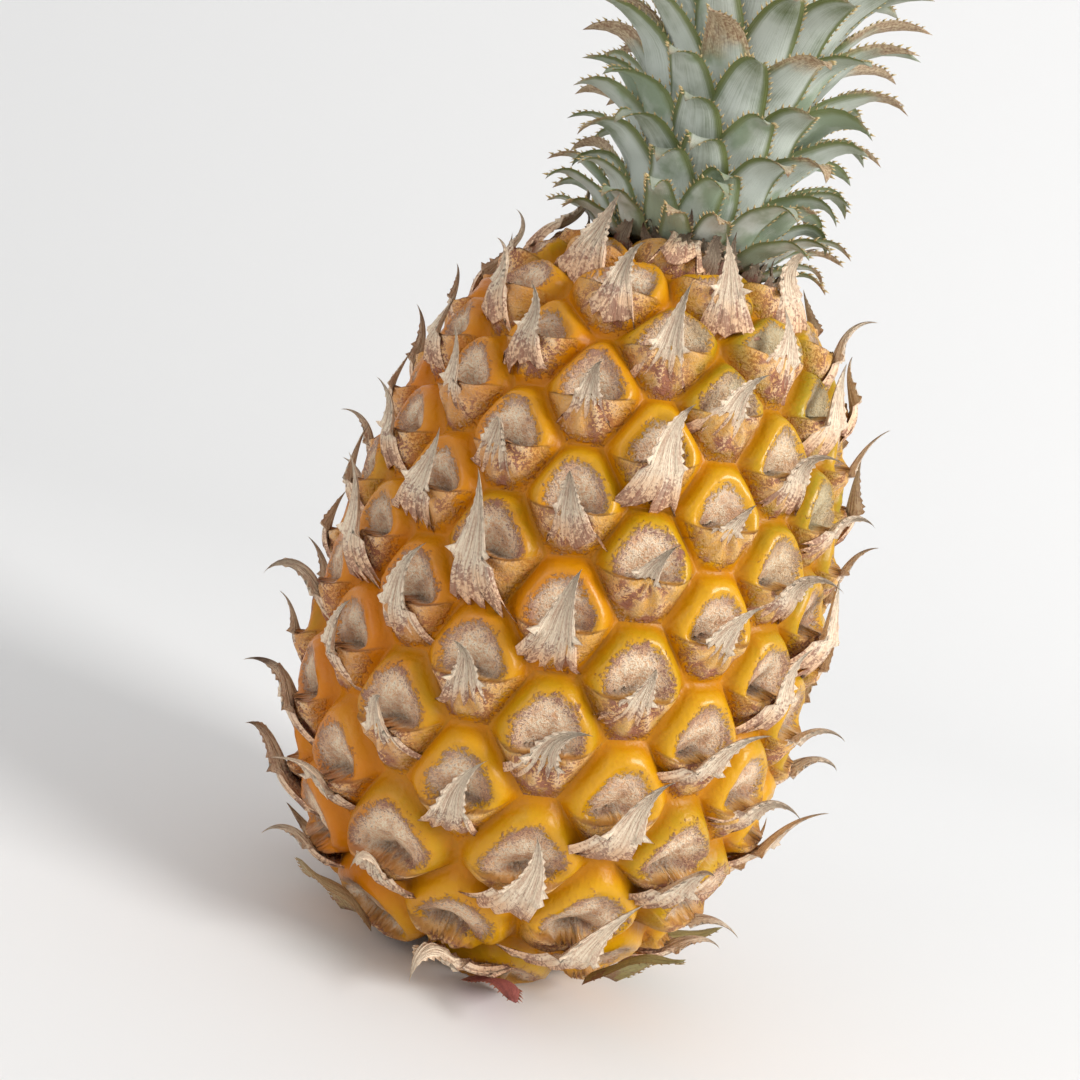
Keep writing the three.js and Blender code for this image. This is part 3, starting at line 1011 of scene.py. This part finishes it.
def leaf_rule(index):
    """The sizes of one leaf, from its place in the spiral, with a little chance in each."""
    share = index / (leaf_count - 1)
    chance = leaf_luck.uniform(-1, 1, 6)
    foot = 0.96 * crown_stem_height * share**1.2 + 0.6 * MM
    stem = lerp(crown_stem_radius, crown_stem_tip, foot / crown_stem_height)
    return {
        "share": share,
        "turn": index * golden_turn,
        "length": lerp(74, 26, (1 - share) ** 1.12) * MM * (1 + 0.07 * chance[0]),
        "half": 9.2 * MM * lerp(0.8, 1, ease(share, 0, 0.3)) * lerp(1, 0.62, ease(share, 0.6, 1)),
        "lean": math.radians(lerp(8, 21, 1 - share)),
        "curl": math.radians(lerp(14, 160, (1 - share) ** 0.8)) * (1 + 0.16 * chance[1]),
        "bend": 0.1 * chance[2],
        "roll": 0.28 * chance[3],
        "foot": foot,
        "radius": stem + clearance + 0.75 * MM,
        "dry": ease(chance[4], lerp(-0.2, 0.5, share), 1.0),
        "chance": (chance[5] + 1) / 2,
    }


def leaf_blade(rule):
    """A leaf that lies on its own bell round the crown's axis and curls outwards towards its point."""
    radius, height = rule["radius"], crown_foot + rule["foot"]
    all_steps = leaf_rows * leaf_steps
    spine = []
    for n in range(all_steps + 1):
        angle = lerp(rule["lean"], rule["curl"], (n / all_steps) ** 2.7)
        if n % leaf_steps == 0:
            spine.append((radius, height, angle))
        radius += rule["length"] / all_steps * math.sin(angle)
        height += rule["length"] / all_steps * math.cos(angle)

    def place(along, across, lift):
        radius, height, angle = spine[round(along * leaf_rows)]
        half = min(rule["half"], leaf_wrap * radius) * (1 - along**2.1) ** 0.95
        spread = rule["turn"] + across * half / radius + rule["bend"] * along**2
        channel = 0.26 * half * across**2 * (0.35 + along)
        wave = 0.07 * half * math.sin(along * 17 + rule["chance"] * 9 + across)
        rock = rule["roll"] * along**1.5 * half * across + wave
        inward = channel + rock - lift
        r = radius - inward * math.cos(angle)
        return (r * math.cos(spread), r * math.sin(spread), height + inward * math.sin(angle))

    def thickness(along):
        return lerp(1.25, 0.5, along) * MM * lerp(1, 0.7, rule["share"])

    return blade(place, leaf_rows, thickness)


# %% [markdown]
# ## Thorns along an edge
# The thorns repeat along the two margins of every leaf, so they are a Geometry Nodes tree. It turns the
# marked edges into a curve, cuts the curve at even steps, and stands a small cone at each cut, hooked
# towards the leaf's point. The same tree arms the bracts under the fruit.

# %% Build the thorns
thorn_sizes = {"Spacing": 1.7 * MM, "Length": 1.25 * MM, "Thickness": 0.3 * MM, "Seed": 3, "Leaf": None}
thorn_hook = 1.1  # how much a thorn looks to the leaf's point rather than straight out
thornless = 0.12  # the share of a blade, from its foot, that has no thorns
tiny = 1e-9  # keeps a length of nothing from dividing by nought


def thorn_tree():
    tree, size = new_tree("thorns on a margin", thorn_sizes)
    margin = attribute(tree, "margin", "BOOLEAN")
    lines = add_node(tree, "GeometryNodeMeshToCurve", {"Mesh": size["Geometry"], "Selection": margin})
    cuts = add_node(tree, "GeometryNodeResampleCurve", {"Curve": lines.outputs[0]}, mode="LENGTH")
    tree.links.new(size["Spacing"], cuts.inputs["Length"])
    cone = add_node(tree, "GeometryNodeMeshCone", {"Vertices": 4}, fill_type="NGON")
    tree.links.new(size["Thickness"], cone.inputs["Radius Bottom"])
    tree.links.new(size["Length"], cone.inputs["Depth"])
    flat = add_node(tree, "GeometryNodeTransform", {"Geometry": cone.outputs[0], "Scale": (1, 0.6, 1)})
    aim = add_node(tree, "FunctionNodeAlignRotationToVector", axis="Z")
    tree.links.new(attribute(tree, "thorn_way"), aim.inputs["Vector"])
    copies = add_node(tree, "GeometryNodeInstanceOnPoints", {
        "Points": cuts.outputs[0], "Instance": flat.outputs[0], "Rotation": aim.outputs[0],
    })
    tree.links.new(random_field(tree, 0.55, 1.15, size["Seed"], 0), copies.inputs["Scale"])
    solid = add_node(tree, "GeometryNodeRealizeInstances", {"Geometry": copies.outputs[0]})
    solid = add_node(tree, "GeometryNodeStoreNamedAttribute", {"Geometry": solid.outputs[0], "Name": "thorn"})
    next(slot for slot in solid.inputs if slot.name == "Value" and slot.enabled).default_value = 1.0
    both = add_node(tree, "GeometryNodeJoinGeometry")
    tree.links.new(size["Geometry"], both.inputs[0])
    tree.links.new(solid.outputs[0], both.inputs[0])
    smooth = add_node(tree, "GeometryNodeSetShadeSmooth", {"Geometry": both.outputs[0]})
    finish_tree(tree, smooth.outputs[0], size["Leaf"])
    return tree


def unit(way):
    return way / (np.linalg.norm(way) + tiny)


def mark_margins(piece, rows):
    """Marks both edges of each blade from near its foot on, and gives each point its thorn's way."""
    mesh = piece.data
    ring = 2 * blade_columns - 2
    count = len(mesh.vertices) // (rows * ring + 1)
    place = np.empty(len(mesh.vertices) * 3, dtype=np.float32)
    mesh.vertices.foreach_get("co", place)
    place = place.reshape(-1, 3)
    ways = np.zeros_like(place)
    marked = set()
    first_row = round(thornless * rows)
    for b in range(count):
        start = b * (rows * ring + 1)
        for side in (0, blade_columns - 1):
            line = [start + row * ring + side for row in range(rows)]
            middle = [start + row * ring + blade_columns // 2 for row in range(rows)]
            for row in range(first_row, rows):
                ahead = place[line[min(row + 1, rows - 1)]] - place[line[row - 1]]
                out = place[line[row]] - place[middle[row]]
                ways[line[row]] = unit(out) + thorn_hook * unit(ahead)
                if row + 1 < rows:
                    marked.add((line[row], line[row + 1]))
    layer = mesh.attributes.new("thorn_way", "FLOAT_VECTOR", "POINT")
    layer.data.foreach_set("vector", ways.ravel())
    flags = [tuple(sorted(edge.vertices)) in marked for edge in mesh.edges]
    mesh.attributes.new("margin", "BOOLEAN", "EDGE").data.foreach_set("value", flags)


# %% [markdown]
# ## The leaf's finish
# A silver bloom of tiny scales lies on the green in fine lines along the leaf. It is thickest low down and
# thin near the edges, which look olive. The thorns are pale, and many points have dried to tan or brown.


# %% Paint the leaves
def leaf_finish():
    material, tree, shader = new_finish("silvery_leaf")
    place = own_place(tree)
    across, along, _ = parts_of(tree, own_uv(tree, "blade_uv"))
    dry, chance, _ = parts_of(tree, own_uv(tree, "leaf_data"))
    lines = add_node(tree, "ShaderNodeCombineXYZ", {0: across * 60.0, 1: along * 2.2, 2: chance * 40.0})
    streak = noise(tree, lines.outputs[0], 1.0, 3.0)
    broad = noise(tree, place, 120.0, 4.0)
    fine = noise(tree, place, 1600.0, 3.0)
    edge = (abs(across - 0.5) + (broad - 0.5) * 0.14).rise(0.3, 0.48)
    bloom = (streak * 0.6 + broad * 1.3 + (0.4 - along) * 0.45 - edge * 0.5 + chance * 0.3).rise(0.4, 1.1)
    brown = (along + dry * 0.34 + (broad - 0.5) * 0.35 + edge * 0.06).rise(0.93, 1.08)
    dead = blend(tree, (fine * 0.5 + streak * 0.5).rise(0.35, 0.65), (146, 106, 76), (220, 200, 164))
    thorn = add_node(tree, "ShaderNodeAttribute", attribute_name="thorn").outputs["Fac"]
    base = coats(
        tree,
        blend(tree, bloom, (108, 122, 84), (218, 224, 216)),
        ((broad * 0.8 + chance * 0.5).rise(0.72, 0.9) * 0.6, (104, 134, 74)),
        ((edge + along.rise(0.5, 1.0) * 0.5).at_most(1.0) * 0.7, (118, 124, 62)),
        (along.rise(0.25, 0.0) * 0.5, (166, 160, 128)),
        (brown, dead),
        (thorn, (208, 184, 132)),
    )
    roughness = fine * 0.16 + bloom * 0.14 + 0.44
    relief = streak * 0.8 + fine * 0.25
    finish_with(tree, shader, base, roughness, relief, 0.3 * MM, 0.7)
    return material


thorn_sizes["Leaf"] = leaf_finish()
armed = thorn_tree()


def leaf_piece(name, rules):
    """One object of one or more leaves, with the thorns on their margins."""
    verts, quads, uvs, data = [], [], [], []
    for rule in rules:
        v, f, uv = leaf_blade(rule)
        quads += [[i + len(verts) for i in face] for face in f]
        verts += v
        uvs += uv
        data += [(rule["dry"], rule["chance"])] * len(v)
    piece = mesh_object(name + "_bare", verts, quads, [("blade_uv", uvs), ("leaf_data", data)])
    mark_margins(piece, leaf_rows)
    return grow(piece, armed, thorn_sizes, name)


# %% Grow the crown
between = [[], [], []]
for index in range(leaf_count):
    rule = leaf_rule(index)
    if index % leaf_step:
        between[index * 3 // leaf_count].append(rule)
        continue
    number = f"{index // leaf_step + 1:02d}"
    leaf = leaf_piece("leaf_" + number, [rule])
    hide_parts("crown_leaf_" + number)
    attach(leaf, "root")
small_leaves = 30
collar_rules = []
for n in range(small_leaves):
    share = n / small_leaves
    chance = leaf_luck.uniform(-1, 1, 6)
    collar_rules.append({
        "share": 0.0,
        "turn": 1.2 + n * golden_turn,
        "length": lerp(19, 27, share) * MM * (1 + 0.12 * chance[0]),
        "half": lerp(3.6, 5.2, share) * MM,
        "lean": math.radians(lerp(62, 36, share) + 6 * chance[1]),
        "curl": math.radians(142 + 22 * chance[2]),
        "bend": 0.2 * chance[2],
        "roll": 0.4 * chance[3],
        "foot": lerp(0.2, 1.5, share) * MM,
        "radius": lerp(17.5, 14.8, share) * MM,
        "dry": ease(chance[4], -0.6, 1.2),
        "chance": (chance[5] + 1) / 2,
    })
collar_leaves = leaf_piece("collar_leaves", collar_rules)
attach(collar_leaves, "root")
for name, rules in zip(("low", "middle", "heart"), between):
    leaves = leaf_piece(f"leaves_between_{name}", rules)
    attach(leaves, "root")

# %% [markdown]
# ## The leafy bracts under the fruit
# The lowest eyes have larger bracts, more like leaves: they droop away from the rind, and are straw, olive
# or pinkish red. They are blades on the same path as their CAD nodes, with thorns added.

# %% Make the leafy bracts
skirt_length = 27 * MM
skirt_half = 5.5 * MM
skirt_droop = math.radians(24)
skirt_thickness = 1.2 * MM
skirt_rows = 14


def skirt_blade(eye, chance):
    out, up, across_way = eye_outs[eye], eye_ups[eye], eye_acrosses[eye]
    spot = eye_middles[eye] + out * (clearance + skirt_thickness * 0.6)
    spine = []
    for row in range(skirt_rows + 1):
        bend = skirt_droop * row / skirt_rows
        ahead = up * math.cos(bend) + out * math.sin(bend)
        face = out * math.cos(bend) - up * math.sin(bend)
        spine.append((spot.copy(), face))
        spot = spot + ahead * skirt_length / skirt_rows

    def place(along, across, lift):
        centre, face = spine[round(along * skirt_rows)]
        half = skirt_half * (1 - along**1.7) ** 0.8
        wave = 0.9 * MM * math.sin(along * 9 + chance * 6) * along
        cup = 0.4 * half * across**2 * (1 - 0.3 * chance) + wave
        side = across_way * half * across + across_way * 3 * MM * (chance - 0.5) * along**2
        return tuple(centre + side + face * (lift + cup))

    return blade(place, skirt_rows, lambda along: lerp(1.0, 0.4, along) * MM)


skirt_colours = [
    ((190, 168, 128), (176, 150, 104), (120, 92, 60)),
    ((170, 158, 104), (160, 142, 84), (110, 96, 50)),
    ((168, 92, 84), (176, 120, 96), (120, 56, 56)),
]
straw, olive, red = (bract_finish(f"leafy_bract_{n}", *tones, 0.3) for n, tones in enumerate(skirt_colours))
for number, finish in enumerate([red, red, olive, straw, straw, olive], 1):  # eye 1 carries bract 1
    verts, quads, uvs = skirt_blade(number, eye_luck[number])
    piece = mesh_object(f"skirt_{number}_bare", verts, quads, [("blade_uv", uvs)])
    mark_margins(piece, skirt_rows)
    thorn_sizes["Leaf"] = finish
    piece = grow(piece, armed, thorn_sizes, f"skirt_bract_{number:02d}")
    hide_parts(f"basal_bract_{number:02d}")
    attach(piece, "root")

# %% [markdown]
# ## The stems
# The stub in the base is a cut across hard fibres, so its face is a little rough, dotted with their ends
# and darker round the rim. The stem of the crown hardly shows between its leaves. It keeps its CAD shape
# and gets the same finish.


# %% Make the cut stem
def stem_finish():
    material, tree, shader = new_finish("fibrous_stem")
    place = own_place(tree)
    x, y, _ = parts_of(tree, place)
    out = (x * x + y * y) ** 0.5
    fibres = add_node(tree, "ShaderNodeTexVoronoi", {"Scale": 900.0, "Vector": place})
    dots = Field(tree, fibres.outputs["Distance"])
    cloud = noise(tree, place, 260.0, 4.0)
    base = coats(
        tree,
        blend(tree, cloud, (196, 172, 118), (158, 128, 82)),
        (dots.rise(0.35, 0.1) * 0.6, (120, 88, 54)),
        ((out + (cloud - 0.5) * 0.003).rise(0.0095, 0.0125) * 0.7, (112, 82, 52)),
    )
    finish_with(tree, shader, base, cloud * 0.15 + 0.75, dots * 0.6 + cloud * 0.6, 0.5 * MM, 0.9)
    return material


stem_material = stem_finish()
stem_radius = (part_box("cut_stem")[1][0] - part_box("cut_stem")[0][0]) / 2
stem_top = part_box("cut_stem")[1][2]
stem_luck = np.random.default_rng(4)
around = 72
rings = 18
cut_roughness = 0.5 * MM
rim_lift = 0.4 * MM  # the rim of the cut is rubbed away by this much
middle_lift = 0.2 * MM
stem = bmesh.new()
ring_verts = []
for ring in range(rings + 1):
    share = ring / rings
    radius = stem_radius * share
    lift = stem_luck.uniform(0, cut_roughness, around) * (1 - share**6)
    lift += rim_lift if ring == rings else 0
    lift = np.convolve(np.tile(lift, 3), np.ones(3) / 3, "same")[around : 2 * around]
    turns = np.arange(around) * TAU / around
    ring_verts.append([
        stem.verts.new((radius * math.cos(t), radius * math.sin(t), h)) for t, h in zip(turns, lift)
    ])
ring_verts.append([stem.verts.new((v.co.x, v.co.y, stem_top)) for v in ring_verts[-1]])
for low, high in zip(ring_verts, ring_verts[1:]):
    for k in range(around):
        stem.faces.new((low[k], low[(k + 1) % around], high[(k + 1) % around], high[k]))
stem.faces.new(ring_verts[-1])
for vert in ring_verts[0]:
    vert.co = (0, 0, middle_lift)
bmesh.ops.remove_doubles(stem, verts=stem.verts, dist=1e-6)
bmesh.ops.recalc_face_normals(stem, faces=stem.faces)
stem_mesh = bpy.data.meshes.new("stem_stub")
stem.to_mesh(stem_mesh)
stem.free()
stem_mesh.materials.append(stem_material)
stem_stub = put_in_scene("stem_stub", stem_mesh)
print("the stub has", len(stem_mesh.polygons), "faces")
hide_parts("cut_stem")
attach(stem_stub, "root")
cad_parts["crown_stem"].material_slots[0].material = stem_material

# %% [markdown]
# ## Floor, light and camera
# The floor is a pale sheet that sweeps up behind the fruit with no edge, so nothing draws the eye from it.
# A large soft lamp stands high on the right, and a weaker one on the left keeps the shadows open. The
# camera is close, a little above the fruit's middle, and leans to one side.


# %% Lay the floor
def sweep():
    half, front, back, curve, top = 4.0, -4.0, 0.5, 0.9, 5.0
    rows = [(front, 0.0), (back, 0.0)]
    rows += [(back + curve * math.sin(a), curve - curve * math.cos(a)) for a in np.linspace(0.1, 1.57, 16)]
    rows.append((back + curve, top))
    verts = [(x, y, z) for y, z in rows for x in (-half, half)]
    quads = [(2 * k, 2 * k + 1, 2 * k + 3, 2 * k + 2) for k in range(len(rows) - 1)]
    return mesh_object("floor_sweep", verts, quads)


floor = sweep()
print("the floor has", len(floor.data.polygons), "faces")
floor_material, _, floor_shader = new_finish("pale_floor")
floor_shader.inputs["Base Color"].default_value = colour(236, 236, 236)
floor_shader.inputs["Roughness"].default_value = 0.9
floor.data.materials.append(floor_material)
floor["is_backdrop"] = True


# %% Hang the lamps
def lamp(name, place, target, size, power, tint):
    light = bpy.data.lights.new(name, "AREA")
    light.shape = "SQUARE"
    light.size = size
    light.energy = power
    light.color = tint
    print(name, "is a lamp of", power, "watts")
    holder = put_in_scene(name, light)
    holder.location = place
    holder.rotation_euler = (Vector(target) - Vector(place)).to_track_quat("-Z", "Y").to_euler()


middle = (0, 0, 0.12)
lamp("window", (1.5, -0.8, 1.05), middle, 0.8, 30, (1.0, 0.985, 0.965))
lamp("fill", (-2.0, -1.9, 1.2), middle, 1.5, 10, (0.96, 0.98, 1.0))
world = bpy.data.worlds.new("room")
bpy.context.scene.world = world
world.use_nodes = True
background = world.node_tree.nodes["Background"]
background.inputs["Color"].default_value = (1.0, 1.0, 1.0, 1.0)
background.inputs["Strength"].default_value = 0.65
bpy.context.scene.view_settings.view_transform = "Standard"

# %% Stand the camera
rise_angle = math.radians(5.2)
roll = math.radians(17.47)
look_at = Vector((-11.8 * MM, 0, 94.8 * MM))
distance = 321.8 * MM
back = Vector((0, -math.cos(rise_angle), math.sin(rise_angle)))
level_up = Vector((0, math.sin(rise_angle), math.cos(rise_angle)))
right = Vector((1, 0, 0))
camera_x = right * math.cos(roll) + level_up * math.sin(roll)
camera_y = level_up * math.cos(roll) - right * math.sin(roll)
camera_data = bpy.data.cameras.new("camera")
camera_data.sensor_width = 36
camera_data.lens = 46.16
camera_data.clip_start = 0.01
camera = put_in_scene("camera", camera_data)
axes = Matrix((camera_x, camera_y, back)).transposed().to_4x4()
camera.matrix_world = Matrix.Translation(look_at + back * distance) @ axes
bpy.context.scene.camera = camera
print("the camera is", round(distance / MM), "mm from the place it looks at")

# %% [markdown]
# ## The size
# The visible box is shown beside the CAD model's box. The surface must stay inside the CAD model's box,
# apart from a few millimetres of curled tips.

# %% Write both boxes and finish
shown_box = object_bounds()
print("the visible box is", [tuple(round(v, 4) for v in corner) for corner in shown_box])
boxes = {"cad": cad_box, "shown": shown_box}
{name: [[float(v) for v in corner] for corner in box] for name, box in boxes.items()}
